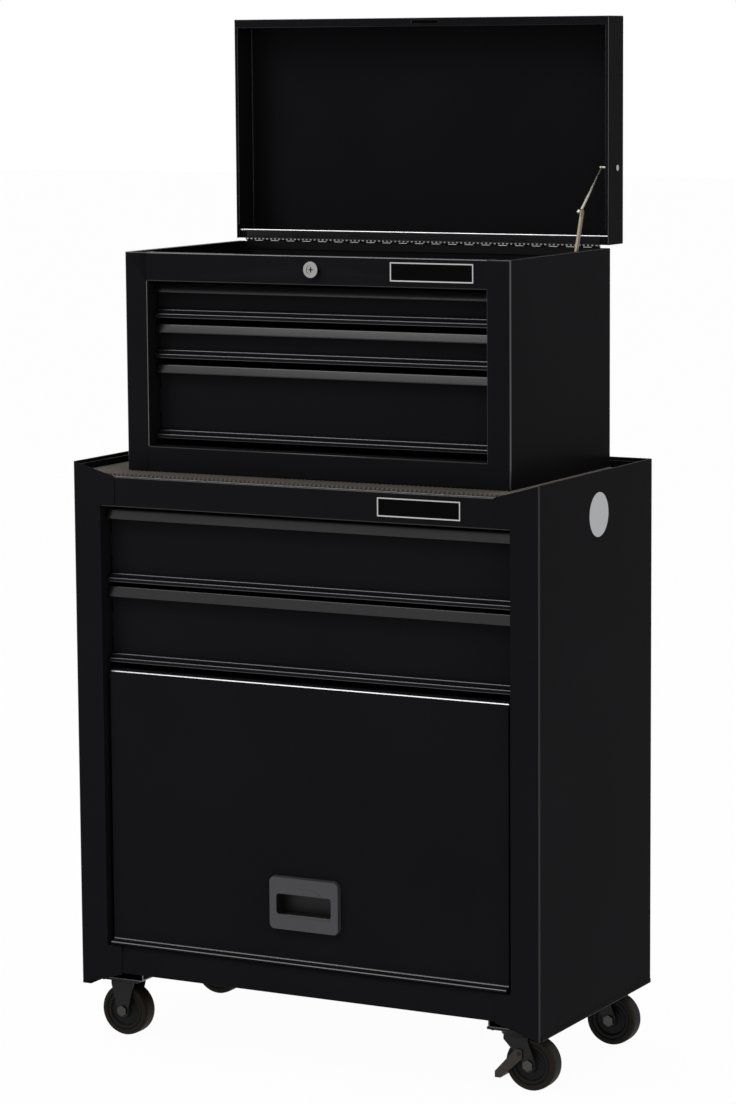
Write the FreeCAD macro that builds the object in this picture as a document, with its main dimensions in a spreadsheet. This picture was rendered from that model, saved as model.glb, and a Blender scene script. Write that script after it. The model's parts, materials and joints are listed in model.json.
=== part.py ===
# Tool chest standing on a rolling cabinet, built from folded sheet steel.
# Millimetres, +Z up, front towards -Y. The origin lies on the floor under the middle of the cabinet.

import FreeCAD, Part
import Sketcher
import math
import os
import re

doc = FreeCAD.newDocument("tool_chest_and_cabinet")

# Driving sizes
SIZES = {
    # sheet and fits
    "gauge": 1.0,
    "bend": 1.6,
    "slide_gauge": 1.2,
    "running_gap": 0.5,
    "pin_gap": 0.05,
    "over": 1,
    # cabinet shell
    "cabinet_width": 673,
    "cabinet_depth": 340,
    "side_height": 698,
    "side_drop": 19.5,
    "stile_width": 40,
    "stile_return": 40,
    "tab_width": 62,
    "tab_drop": 54,
    "tab_slant": 17,
    "foot_rise": 56,
    "foot_slant": 18,
    "hem_height": 10,
    "bottom_hem": 5,
    "header_height": 40.5,
    "header_return": 16,
    "header_lip": 9,
    "tray_sink": 16.5,
    "tray_lip": 13,
    "mat_thickness": 3.5,
    "mat_margin": 5,
    "rail_height": 37.5,
    "rail_crease": 27,
    "rail_lean": 3.5,
    "rail_lip": 8,
    "pan_lip": 20,
    "channel_width": 70,
    "channel_height": 14,
    "channel_edge": 12,
    "channel_inset": 20,
    "channel_gauge": 2,
    # drawers
    "fit_gap": 3,
    "tall_front": 97.5,
    "small_front": 45.3,
    "second_front": 101,
    "cabinet_step": 5,
    "chest_step": 7.2,
    "cabinet_recess": 23,
    "chest_recess": 27,
    "pull_reach": 12,
    "pull_drop": 15.5,
    "pull_edge": 3,
    "pull_lean": 3,
    "pull_shoulder": 6,
    "pull_round": 4,
    "pull_curl": 3.5,
    "ledge_one": 8,
    "ledge_two": 5.5,
    "ledge_step": 6,
    "tray_lift": 7,
    "tall_wall": 76,
    "small_wall": 33,
    "tray_rim": 4,
    "slide_space": 13.3,
    "slide_height": 30,
    "small_slide": 24,
    "slide_reach": 8,
    "slide_lip": 4,
    "cabinet_tray_length": 300,
    "chest_tray_length": 250,
    "member_length": 270,
    "chest_member_length": 230,
    # door
    "door_gap": 6.4,
    "door_height": 367.5,
    "door_foot": 39,
    "door_recess": 8,
    "door_roll": 8,
    "door_thick": 16,
    "door_bend": 3,
    "door_hem": 12,
    "door_foot_hem": 8,
    "door_ledge": 6.1,
    "door_lip": 3.5,
    "pivot_back": 18,
    "pivot_down": 12,
    "pivot_radius": 3,
    "pivot_collar": 5,
    "pivot_reach": 3,
    # door handle
    "handle_width": 102.5,
    "handle_height": 70.5,
    "handle_low": 45.5,
    "handle_round": 8,
    "handle_proud": 6,
    "handle_taper": 12,
    "cup_width": 80,
    "cup_height": 27,
    "cup_low": 21,
    "cup_depth": 18,
    "cup_wall": 2.5,
    "cup_round": 4,
    # chest shell
    "chest_width": 556,
    "chest_depth": 295.5,
    "chest_height": 285,
    "chest_inset": 3,
    "chest_stile": 32.5,
    "chest_return": 24,
    "chest_fold": 16,
    "chest_header": 37.5,
    "chest_rail": 33.3,
    "rim_depth": 9,
    "back_flange": 12,
    "chest_hem": 6,
    "till_lip": 10,
    "till_slot_side": 8,
    "till_slot_back": 165,
    "till_slot_run": 130,
    # lock
    "lock_height": 17.3,
    "lock_radius": 8,
    "lock_bezel": 10.25,
    "lock_proud": 6,
    "lock_length": 23,
    "plug_radius": 6,
    "cam_length": 22,
    "cam_width": 8,
    "cam_gauge": 2,
    "cam_gap": 0.3,
    "plug_sink": 1.2,
    "key_width": 1.6,
    "key_height": 7,
    "key_depth": 6,
    # lid and its hinge
    "lid_depth": 43.7,
    "lid_overhang": 3.5,
    "lid_rest": 0.8,
    "lid_lip": 11,
    "lid_hem": 3.5,
    "lid_corner": 3,
    "slot_length": 40,
    "slot_width": 5,
    "slot_shift": 12,
    "slot_down": 8,
    "lid_nick": 1.5,
    "lid_hem_gap": 8,
    "hinge_lift": 3.3,
    "hinge_in": 0.5,
    "knuckle_radius": 2.2,
    "hinge_pin_radius": 1,
    "knuckle_pitch": 12.3,
    "knuckle_play": 0.3,
    "leaf_height": 14,
    "lid_leaf": 10.5,
    # lid stay
    "stay_lid_back": 23.2,
    "stay_lid_up": 99.7,
    "stay_knee_back": -45.8,
    "stay_knee_up": 44.7,
    "stay_foot_back": -71.8,
    "stay_foot_up": -28.3,
    "stay_in": 18,
    "stay_rod": 2,
    "stay_pin": 2.4,
    "stay_eye": 3.2,
    "stay_screw": 3,
    "stay_screw_out": 2.8,
    "stay_bar_width": 9,
    "stay_bar_gauge": 1.5,
    "rib_start": 5,
    "rib_depth": 3,
    "rib_short": 12,
    "stay_rivet": 4,
    # casters
    "wheel_room": 11.5,
    "wheel_radius": 34.5,
    "wheel_width": 25,
    "tyre_wall": 8,
    "hub_proud": 1,
    "hub_wall": 5,
    "hub_dish": 5,
    "hub_bore": 4.08,
    "axle_radius": 4,
    "axle_head": 6.5,
    "axle_cap": 3,
    "plate_long": 64,
    "plate_wide": 56,
    "plate_gauge": 2.5,
    "plate_round": 4,
    "caster_in": 42,
    "swivel_in": 53,
    "swivel_trail": 22,
    "caster_front": 48,
    "caster_rear": 48,
    "fork_gap": 2,
    "fork_gauge": 2,
    "fork_top": 34,
    "fork_end": 18,
    "fork_nick": 0.5,
    "fork_waist": 4,
    "fork_shoulder": 8,
    "arch_round": 5,
    "yoke_shift": 4,
    "race_radius": 21,
    "race_height": 5,
    "race_gap": 0.3,
    "kingpin_radius": 5,
    "kingpin_length": 8,
    "kingpin_down": 6,
    "kingpin_head": 7,
    "kingpin_cap": 3,
    "pedal_gauge": 2,
    "pedal_pin": 2.5,
    "pedal_back": 12,
    "pedal_up": 14,
    "pedal_reach": 46,
    "pedal_low": 20,
    "pedal_toe": 8,
    "pedal_end": 5,
    "pedal_round": 3,
}

# Places that follow from the sizes
PLACES = {
    "caster_height": "2 * wheel_radius + wheel_room",
    "half_width": "cabinet_width / 2",
    "front": "-cabinet_depth / 2",
    "back": "cabinet_depth / 2",
    "side_foot": "caster_height + channel_height - side_drop",
    "side_top": "side_foot + side_height",
    "pan_under": "caster_height + channel_height",
    "tray_floor": "side_top - tray_sink",
    "header_foot": "tray_floor - header_height",
    "rail_top": "pan_under + rail_height",
    "opening": "half_width - stile_width",
    "inner_half": "half_width - gauge",
    "rail_half": "half_width - bend",
    "cabinet_face": "front + cabinet_recess",
    "top_one": "header_foot - fit_gap",
    "top_two": "top_one - tall_front - cabinet_step",
    "door_bottom": "pan_under + door_foot",
    "door_top": "door_bottom + door_height",
    "door_face": "front + door_recess",
    "door_half": "opening - door_gap",
    "pivot_y": "front + pivot_back",
    "pivot_z": "door_top - pivot_down",
    "chest_foot": "tray_floor + mat_thickness",
    "chest_top": "chest_foot + chest_height",
    "chest_half": "chest_width / 2",
    "chest_back_y": "back - chest_inset",
    "chest_front": "chest_back_y - chest_depth",
    "chest_opening": "chest_half - chest_stile",
    "chest_face": "chest_front + chest_recess",
    "till_floor": "chest_top - chest_header",
    "chest_rail_top": "chest_foot + chest_rail",
    "top_three": "till_floor - fit_gap",
    "top_four": "top_three - small_front - chest_step",
    "top_five": "top_four - small_front - chest_step",
    "lock_z": "chest_top - lock_height",
    "hinge_y": "chest_back_y - gauge - knuckle_radius - hinge_in",
    "hinge_z": "chest_top + hinge_lift",
    "lid_face": "hinge_y + lid_depth",
    "lid_edge": "hinge_y - hinge_lift + lid_rest",
    "lid_foot": "hinge_z + running_gap",
    "lid_top": "hinge_z + hinge_y - chest_front + lid_overhang",
    "leaf_plane": "hinge_y + knuckle_radius + hinge_in",
    "plate_top": "caster_height",
    "axle_z": "wheel_radius",
    "fork_half": "wheel_width / 2 + fork_gap",
    "fork_crown": "plate_top - plate_gauge - race_height",
    "rigid_x": "-half_width + caster_in",
    "king_x": "half_width - swivel_in",
    "front_caster_y": "front + caster_front",
    "rear_caster_y": "back - caster_rear",
    "lead_x": "king_x + swivel_trail",
    "fork_face": "fork_half + fork_gauge",
}


def fill_sheet(name, cells):
    sheet = doc.addObject("Spreadsheet::Sheet", name)
    for row, (alias, content) in enumerate(cells.items(), start=1):
        sheet.set(f"A{row}", alias)
        sheet.set(f"B{row}", str(content))
        sheet.setAlias(f"B{row}", alias)
    return sheet


def expr(text):
    """The expression with each size and place named in full."""
    def full(word):
        name = word.group(0)
        if name in SIZES:
            return f"Sizes.{name}"
        return f"Places.{name}" if name in PLACES else name
    return re.sub(r"[a-z][a-z_]*", full, text)


sizes = fill_sheet("Sizes", SIZES)
doc.recompute()
places = fill_sheet("Places", {name: "=" + expr(text) for name, text in PLACES.items()})
doc.recompute()


# Drawing and building steps
PLANE_TURN = {
    "top": FreeCAD.Rotation(),
    "front": FreeCAD.Rotation(FreeCAD.Vector(1, 0, 0), 90),
    "side": FreeCAD.Rotation(FreeCAD.Vector(1, 1, 1), 120),
}
PLANE_RUN = {
    "top": FreeCAD.Vector(0, 0, 1),
    "front": FreeCAD.Vector(0, 1, 0),
    "side": FreeCAD.Vector(1, 0, 0),
}
PLANE_AXIS = {"top": "z", "front": "y", "side": "x"}
PIECES = []


def value(text):
    return float(sizes.evalExpression(expr(text)))


def bind(thing, target, text):
    thing.setExpression(target, expr(text))


def place(thing, x="0", y="0", z="0"):
    for axis, text in zip("xyz", (x, y, z)):
        bind(thing, f"Placement.Base.{axis}", text)


def piece(node, thing):
    """Gives a finished sub-part its name."""
    thing.Label = node
    PIECES.append(thing)
    return thing


def shifted(text, factor, size):
    if abs(factor) < 1e-6:
        return text
    return f"{text} + {factor:.6f} * ({size})"


def draw(sketch, corners):
    """Draws a closed outline; a corner with a third value is rounded to that radius."""
    at = [FreeCAD.Vector(value(c[0]), value(c[1]), 0) for c in corners]
    count = len(corners)
    stops = []
    for i, corner in enumerate(corners):
        x, y = corner[0], corner[1]
        if len(corner) == 2:
            stops.append([(x, y), (x, y)])
            continue
        back = (at[i - 1] - at[i]).normalize()
        ahead = (at[(i + 1) % count] - at[i]).normalize()
        reach = math.tan((math.pi - back.getAngle(ahead)) / 2)
        stops.append([
            (shifted(x, way.x * reach, corner[2]), shifted(y, way.y * reach, corner[2]))
            for way in (back, ahead)
        ])
    rules = []
    bound = []

    def fix(kind, geometry, point, text):
        rules.append(Sketcher.Constraint(kind, -1, 1, geometry, point, value(text)))
        bound.append((len(rules) - 1, text))

    lines = []
    for i in range(count):
        start, end = stops[i][1], stops[(i + 1) % count][0]
        points = [FreeCAD.Vector(value(x), value(y), 0) for x, y in (start, end)]
        lines.append(sketch.addGeometry(Part.LineSegment(*points), False))
        fix("DistanceX", lines[i], 1, start[0])
        fix("DistanceY", lines[i], 1, start[1])
        if len(corners[(i + 1) % count]) == 3:
            fix("DistanceX", lines[i], 2, end[0])
            fix("DistanceY", lines[i], 2, end[1])
    for i, corner in enumerate(corners):
        before, after = lines[i - 1], lines[i]
        if len(corner) == 2:
            rules.append(Sketcher.Constraint("Coincident", before, 2, after, 1))
            continue
        ends = [FreeCAD.Vector(value(x), value(y), 0) for x, y in stops[i]]
        radius = value(corner[2])
        middle = (ends[0] + ends[1]) / 2 - at[i]
        half = (ends[1] - ends[0]).Length / 2
        centre = at[i] + middle.normalize() * (half / middle_sine(ends, at[i]))
        turn_left = (at[i] - at[i - 1]).cross(at[(i + 1) % count] - at[i]).z > 0
        first, last = (ends[0], ends[1]) if turn_left else (ends[1], ends[0])
        angles = [math.atan2(p.y - centre.y, p.x - centre.x) for p in (first, last)]
        if angles[1] < angles[0]:
            angles[1] += 2 * math.pi
        circle = Part.Circle(centre, FreeCAD.Vector(0, 0, 1), radius)
        arc = sketch.addGeometry(Part.ArcOfCircle(circle, *angles), False)
        rules.append(Sketcher.Constraint("Coincident", before, 2, arc, 1 if turn_left else 2))
        rules.append(Sketcher.Constraint("Coincident", after, 1, arc, 2 if turn_left else 1))
        rules.append(Sketcher.Constraint("Radius", arc, radius))
        bound.append((len(rules) - 1, corner[2]))
    sketch.addConstraint(rules)
    for number, text in bound:
        bind(sketch, f"Constraints[{number}]", text)


def middle_sine(ends, corner):
    """Half chord over the distance from a corner to its arc's centre."""
    to_end = ends[0] - corner
    half = (ends[1] - ends[0]).Length / 2
    half_angle = math.asin(half / to_end.Length)
    return half * math.cos(half_angle) / to_end.Length


def prism(name, plane, corners, start, length):
    """A solid of one cross-section between two parallel planes."""
    sketch = doc.addObject("Sketcher::SketchObject", name + "_outline")
    draw(sketch, corners)
    sketch.Placement = FreeCAD.Placement(FreeCAD.Vector(), PLANE_TURN[plane])
    bind(sketch, "Placement.Base." + PLANE_AXIS[plane], start)
    solid = doc.addObject("Part::Extrusion", name)
    solid.Base = sketch
    solid.DirMode = "Custom"
    solid.Dir = PLANE_RUN[plane]
    solid.Solid = True
    bind(solid, "LengthFwd", length)
    return solid


def folded(path, gauge, side):
    """The closed section of a sheet whose one face follows the path.

    side is where the metal lies, seen along the path. A third value is the bend's radius on the path."""
    at = [FreeCAD.Vector(value(p[0]), value(p[1]), 0) for p in path]
    hand = 1 if side == "left" else -1
    ways = [(b - a).normalize() for a, b in zip(at, at[1:])]
    normals = [FreeCAD.Vector(-w.y * hand, w.x * hand, 0) for w in ways]
    other = []
    for i, point in enumerate(path):
        before = normals[max(i - 1, 0)]
        after = normals[min(i, len(normals) - 1)]
        push = (before + after) / (1 + before.dot(after))
        corner = [shifted(point[0], push.x, gauge), shifted(point[1], push.y, gauge)]
        if len(point) == 3:
            inside = ways[i - 1].cross(ways[i]).z * hand > 0
            radius = f"{point[2]} - {gauge}" if inside else f"{point[2]} + {gauge}"
            if value(radius) > 0.05:
                corner.append(radius)
        other.append(tuple(corner))
    return list(path) + other[::-1]


def block(name, x, y, z, dx, dy, dz):
    solid = doc.addObject("Part::Box", name)
    place(solid, x, y, z)
    bind(solid, "Length", dx)
    bind(solid, "Width", dy)
    bind(solid, "Height", dz)
    return solid


ROD_TURN = {
    "x": FreeCAD.Rotation(FreeCAD.Vector(0, 1, 0), 90),
    "y": FreeCAD.Rotation(FreeCAD.Vector(1, 0, 0), -90),
    "z": FreeCAD.Rotation(),
}


def rod(name, way, x, y, z, radius, length):
    solid = doc.addObject("Part::Cylinder", name)
    solid.Placement = FreeCAD.Placement(FreeCAD.Vector(), ROD_TURN[way])
    place(solid, x, y, z)
    bind(solid, "Radius", radius)
    bind(solid, "Height", length)
    return solid


def fused(name, parts):
    whole = doc.addObject("Part::MultiFuse", name)
    whole.Shapes = parts
    whole.Refine = True
    return whole


def cut(name, base, tools):
    left = doc.addObject("Part::Cut", name)
    left.Base = base
    left.Tool = tools[0] if len(tools) == 1 else fused(name + "_tools", tools)
    left.Refine = True
    return left


def group(name, parts):
    whole = doc.addObject("Part::Compound", name)
    whole.Links = parts
    return whole


def mirrored(name, source):
    copy = doc.addObject("Part::Mirroring", name)
    copy.Source = source
    copy.Normal = (1, 0, 0)
    copy.Base = (0, 0, 0)
    return copy


def open_pan(name, x, y, z, dx, dy, dz, gauge):
    """A sheet tray: a block hollowed from its top face."""
    full = block(name + "_block", x, y, z, dx, dy, dz)
    doc.recompute()
    pan = doc.addObject("Part::Thickness", name + "_pan")
    pan.Faces = (full, ["Face6"])
    pan.Join = "Intersection"
    bind(pan, "Value", f"-{gauge}")
    return pan


# Cabinet side panels: side, front stile with its tabs, and the stile's return
def cabinet_sides():
    plan = folded(
        [("half_width", "back - gauge"), ("half_width", "front", "bend"),
         ("half_width - tab_width", "front")],
        "gauge", "right")
    wall = prism("side_wall", "top", plan, "side_foot", "side_height")
    window = block("side_window", "half_width - tab_width - over", "front - over", "side_foot + foot_rise",
                   "tab_width - stile_width + over", "gauge + 2 * over", "side_height - foot_rise - tab_drop")
    top_slope = prism(
        "side_top_slope", "front",
        [("half_width", "side_top"), ("half_width", "side_top + over"),
         ("half_width - tab_width - over", "side_top + over"),
         ("half_width - tab_width - over", "side_top - tab_slant"),
         ("half_width - tab_width", "side_top - tab_slant")],
        "front - over", "gauge + 1.5 * over")
    foot_slope = prism(
        "side_foot_slope", "front",
        [("half_width", "side_foot"), ("half_width - tab_width", "side_foot + foot_slant"),
         ("half_width - tab_width - over", "side_foot + foot_slant"),
         ("half_width - tab_width - over", "side_foot - over"), ("half_width", "side_foot - over")],
        "front - over", "gauge + 1.5 * over")
    sheet = cut("side_sheet", wall, [window, top_slope, foot_slope])
    stile_return = block("side_return", "opening", "front", "rail_top",
                         "gauge", "stile_return", "header_foot - rail_top")
    top_hem = block("side_top_hem", "half_width - 2 * gauge", "front + 2 * gauge", "side_top - hem_height",
                    "gauge", "cabinet_depth - 3 * gauge", "hem_height")
    foot_flange = block("side_foot_flange", "half_width - channel_edge", "front + 2 * gauge", "side_foot",
                        "channel_edge - gauge", "cabinet_depth - 3 * gauge", "gauge")
    foot_hem = prism(
        "side_foot_hem", "front",
        [("half_width", "side_foot"), ("half_width + gauge", "side_foot", "gauge / 2"),
         ("half_width + gauge", "side_foot + bottom_hem"), ("half_width", "side_foot + bottom_hem + gauge")],
        "front + 3 * bend", "cabinet_depth - 3 * bend - gauge")
    right = fused("cabinet_right_side", [sheet, stile_return, top_hem, foot_flange, foot_hem])
    piece("cabinet_right_side", right)
    piece("cabinet_left_side", mirrored("cabinet_left_side", right))


# Cabinet back: one sheet behind the sides with a flange inside each
def cabinet_back():
    plan = folded(
        [("half_width - gauge", "back - back_flange"), ("half_width - gauge", "back"),
         ("-half_width + gauge", "back"), ("-half_width + gauge", "back - back_flange")],
        "gauge", "left")
    flanges = prism("back_flanges", "top", plan, "pan_under + pan_lip",
                    "side_top - hem_height - gauge - pan_under - pan_lip")
    skin = block("back_skin", "-half_width", "back - gauge", "side_foot",
                 "cabinet_width", "gauge", "side_height")
    piece("cabinet_back", fused("cabinet_back", [skin, flanges]))


# Cabinet front rails
def cabinet_rails():
    face = "front + gauge"
    header = prism(
        "cabinet_top_rail", "side",
        folded([(f"{face} + header_return", "header_foot + header_lip"),
                (f"{face} + header_return", "header_foot"),
                (face, "header_foot", "bend"), (face, "tray_floor - gauge", "bend"),
                (f"{face} + header_return", "tray_floor - gauge")], "gauge", "right"),
        "-rail_half", "2 * rail_half")
    piece("cabinet_top_rail", header)
    rail = prism(
        "cabinet_bottom_rail", "side",
        folded([(f"{face} + pan_lip", "pan_under"), (face, "pan_under", "bend"),
                (face, "pan_under + rail_crease"), (f"{face} + rail_lean", "rail_top", "bend"),
                (f"{face} + pan_lip", "rail_top"), (f"{face} + pan_lip", "rail_top - rail_lip")],
               "gauge", "right"),
        "-rail_half", "2 * rail_half")
    piece("cabinet_bottom_rail", rail)


# Cabinet top tray and the mat that lies in it
def cabinet_top():
    section = folded(
        [("-inner_half + gauge", "tray_floor - gauge + tray_lip"),
         ("-inner_half + gauge", "tray_floor - gauge"),
         ("inner_half - gauge", "tray_floor - gauge"),
         ("inner_half - gauge", "tray_floor - gauge + tray_lip")],
        "gauge", "left")
    sheet = prism("tray_sheet", "front", section, "front + 3 * gauge", "cabinet_depth - 5 * gauge")
    rear = block("tray_rear", "-inner_half + gauge", "chest_back_y", "tray_floor - gauge",
                 "2 * (inner_half - gauge)", "gauge", "tray_lip")
    nose = block("tray_nose", "-half_width + tab_width", "front + gauge", "tray_floor - gauge",
                 "cabinet_width - 2 * tab_width", "2 * gauge", "gauge")
    piece("cabinet_top_tray", fused("cabinet_top_tray", [sheet, rear, nose]))
    mat = prism(
        "tray_mat", "top",
        [("-half_width + mat_margin", "front + mat_margin", "mat_margin"),
         ("half_width - mat_margin", "front + mat_margin", "mat_margin"),
         ("half_width - mat_margin", "back - mat_margin", "mat_margin"),
         ("-half_width + mat_margin", "back - mat_margin", "mat_margin")],
        "tray_floor", "mat_thickness")
    piece("tray_mat", mat)


# Cabinet floor and the two channels that carry the casters
def cabinet_base():
    floor = open_pan("floor", "-inner_half", "front + 2 * gauge + pan_lip", "pan_under",
                     "2 * inner_half", "cabinet_depth - pan_lip - 3 * gauge", "pan_lip", "gauge")
    front_edge = block("floor_front_edge", "-inner_half", "front + 3 * gauge", "pan_under + gauge",
                       "2 * inner_half", "pan_lip", "gauge")
    piece("cabinet_floor_pan", fused("cabinet_floor_pan", [floor, front_edge]))
    left = "-half_width + channel_edge"
    right = "-half_width + channel_edge + channel_width"
    section = folded(
        [(left, "pan_under"), (left, "plate_top", "2 * bend"), (right, "plate_top", "2 * bend"),
         (right, "pan_under")], "channel_gauge", "left")
    channel = prism("channel_left", "front", section, "front + channel_inset",
                    "cabinet_depth - 2 * channel_inset")
    piece("caster_channels", group("caster_channels", [channel, mirrored("channel_right", channel)]))


def rail_pair(name, half, z, height, start, length):
    """The two fixed members of one drawer's slides."""
    low, high = f"{z} - {height} / 2", f"{z} + {height} / 2"
    section = folded(
        [(f"{half} - slide_reach", f"{high} - slide_lip"), (f"{half} - slide_reach", high), (half, high),
         (half, low), (f"{half} - slide_reach", low), (f"{half} - slide_reach", f"{low} + slide_lip")],
        "slide_gauge", "right")
    rail = prism(name + "_right_rail", "front", section, start, length)
    return [rail, mirrored(name + "_left_rail", rail)]


def member_pair(name, half, z, height, start, length):
    """The two members that ride in a drawer's fixed rails."""
    outer = f"{half} - slide_gauge - running_gap"
    web = f"{half} - slide_space"
    low = f"{z} - {height} / 2 + slide_lip + running_gap"
    high = f"{z} + {height} / 2 - slide_lip - running_gap"
    section = folded([(outer, high), (web, high), (web, low), (outer, low)], "slide_gauge", "left")
    member = prism(name + "_right_member", "front", section, start, length)
    return [member, mirrored(name + "_left_member", member)]


# One drawer: folded front with its pull, tray, and slide members
def drawer(name, half, face, top, height, wall, slide, tray_length, member_length):
    bottom = f"{top} - {height}"
    edge = f"{face} - pull_reach"
    skin = f"{face} + gauge"
    path = [
        (f"{edge} + pull_curl", f"{top} - pull_drop"),
        (edge, f"{top} - pull_drop"),
        (edge, f"{top} - pull_drop + pull_edge"),
        (f"{edge} + pull_lean", f"{top} - pull_shoulder", "pull_round"),
        (skin, top),
        (skin, f"{bottom} + ledge_one - gauge"),
        (f"{face} - ledge_step + gauge", f"{bottom} + ledge_one - gauge"),
        (f"{face} - ledge_step + gauge", f"{bottom} + ledge_two - gauge"),
        (f"{edge} + gauge", f"{bottom} + ledge_two - gauge"),
        (f"{edge} + gauge", f"{bottom} + gauge"),
        (f"{skin} + pull_curl", f"{bottom} + gauge"),
    ]
    front = prism(name + "_front", "side", folded(path, "gauge", "right"),
                  f"-{half} + fit_gap", f"2 * ({half} - fit_gap)")
    piece(name + "_front", front)
    tray_half = f"({half} - slide_space)"
    floor = f"{bottom} + tray_lift"
    pan = open_pan(name, f"-{tray_half}", skin, floor, f"2 * {tray_half}", tray_length, wall, "gauge")
    rims = [
        block(f"{name}_rim_{index}", x, skin, f"{floor} + {wall} - tray_rim",
              "gauge", tray_length, "tray_rim")
        for index, x in enumerate((f"-{tray_half} + gauge", f"{tray_half} - 2 * gauge"))
    ]
    piece(name + "_tray", fused(name + "_tray", [pan] + rims))
    middle = f"{floor} + {wall} * 0.55"
    members = member_pair(name, half, middle, slide, skin, member_length)
    piece(name + "_slides", group(name + "_slides", members))
    return middle


def cabinet_drawers():
    rails = []
    for name, top, height in (("cabinet_drawer_one", "top_one", "tall_front"),
                              ("cabinet_drawer_two", "top_two", "second_front")):
        middle = drawer(name, "opening", "cabinet_face", top, height, "tall_wall", "slide_height",
                        "cabinet_tray_length", "member_length")
        rails += rail_pair(name, "opening", middle, "slide_height", "cabinet_face + 2 * gauge",
                           "back - cabinet_face - 3 * gauge")
    piece("cabinet_slide_rails", group("cabinet_slide_rails", rails))


def chest_drawers():
    rails = []
    for name, top, height, wall, slide in (
            ("chest_drawer_one", "top_three", "small_front", "small_wall", "small_slide"),
            ("chest_drawer_two", "top_four", "small_front", "small_wall", "small_slide"),
            ("chest_drawer_three", "top_five", "tall_front", "tall_wall", "slide_height")):
        middle = drawer(name, "chest_opening", "chest_face", top, height, wall, slide,
                        "chest_tray_length", "chest_member_length")
        rails += rail_pair(name, "chest_opening", middle, slide, "chest_face + 2 * gauge",
                           "chest_back_y - chest_face - 4 * gauge")
    piece("chest_slide_rails", group("chest_slide_rails", rails))


# Lift-up door, its two pivot pins and its moulded handle cup
def cabinet_door():
    rear = "door_face + door_thick"
    section = folded(
        [(rear, "door_top - door_hem"), (rear, "door_top", "door_bend"),
         ("door_face", "door_top", "door_roll"),
         ("door_face", "door_bottom + door_ledge"), ("front", "door_bottom + door_lip"),
         ("front", "door_bottom"), (rear, "door_bottom"), (rear, "door_bottom + door_foot_hem")],
        "gauge", "left")
    skin = prism("door_skin", "side", section, "-door_half", "2 * door_half")
    cheek_outline = [
        ("door_face + gauge / 2", "door_bottom + door_ledge + 2 * gauge"),
        (rear, "door_bottom + door_ledge + 2 * gauge"), (rear, "door_top - door_bend"),
        ("door_face + door_roll", "door_top - gauge / 2"),
        ("door_face + gauge / 2", "door_top - door_roll")]
    cheeks = [prism(f"door_cheek_{index}", "side", cheek_outline, x, "gauge")
              for index, x in enumerate(("-door_half", "door_half - gauge"))]
    holes = [rod(f"door_pivot_hole_{index}", "x", f"{x} - 2 * gauge", "pivot_y", "pivot_z",
                 "pivot_radius + pin_gap", "4 * gauge")
             for index, x in enumerate(("-door_half", "door_half"))]
    window = block("door_window", "-cup_width / 2 - cup_wall", "front",
                   "door_bottom + handle_low + cup_low - cup_wall",
                   "cup_width + 2 * cup_wall", "2 * door_recess", "cup_height + 2 * cup_wall")
    panel = cut("door_panel", fused("door_sheet", [skin] + cheeks), holes + [window])
    piece("door_panel", panel)
    pins = []
    for index, hand in enumerate((-1, 1)):
        start = "-opening" if hand < 0 else "opening - door_gap - pivot_reach"
        collar = "-opening" if hand < 0 else "opening - door_gap + running_gap"
        shank = rod(f"pivot_shank_{index}", "x", start, "pivot_y", "pivot_z", "pivot_radius",
                    "door_gap + pivot_reach")
        shoulder = rod(f"pivot_collar_{index}", "x", collar, "pivot_y", "pivot_z", "pivot_collar",
                       "door_gap - running_gap")
        pins.append(fused(f"pivot_pin_{index}", [shank, shoulder]))
    piece("door_pivot_pins", group("door_pivot_pins", pins))


def body_sketch(body, name, corners, plane="XY_Plane"):
    sketch = body.newObject("Sketcher::SketchObject", name)
    origin = [feature for feature in body.Origin.OriginFeatures if feature.Role == plane][0]
    sketch.AttachmentSupport = [(origin, "")]
    sketch.MapMode = "FlatFace"
    draw(sketch, corners)
    return sketch


def rounded_box(width, low, height, radius):
    half = f"{width} / 2"
    return [(f"-{half}", low, radius), (half, low, radius), (half, f"{low} + {height}", radius),
            (f"-{half}", f"{low} + {height}", radius)]


def door_handle():
    body = doc.addObject("PartDesign::Body", "door_handle")
    body.Placement = FreeCAD.Placement(FreeCAD.Vector(), PLANE_TURN["front"])
    place(body, "0", "door_face", "door_bottom + handle_low")
    bezel = body.newObject("PartDesign::Pad", "bezel")
    bezel.Profile = body_sketch(
        body, "bezel_outline", rounded_box("handle_width", "0", "handle_height", "handle_round"))
    bind(bezel, "Length", "handle_proud")
    bind(bezel, "TaperAngle", "-handle_taper")
    cup = body.newObject("PartDesign::Pad", "cup")
    cup.Profile = body_sketch(body, "cup_outline", rounded_box(
        "(cup_width + 2 * cup_wall - running_gap)", "cup_low - cup_wall + running_gap / 2",
        "cup_height + 2 * cup_wall - running_gap", "cup_round"))
    bind(cup, "Length", "cup_depth")
    cup.Reversed = True
    doc.recompute()
    hollow = body.newObject("PartDesign::Pocket", "cup_hollow")
    sketch = body_sketch(body, "hollow_outline", rounded_box(
        "cup_width", "cup_low", "cup_height", "cup_round"))
    bind(sketch, "AttachmentOffset.Base.z", "handle_proud + over")
    hollow.Profile = sketch
    bind(hollow, "Length", "handle_proud + over + cup_depth - cup_wall")
    piece("door_handle", body)


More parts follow.
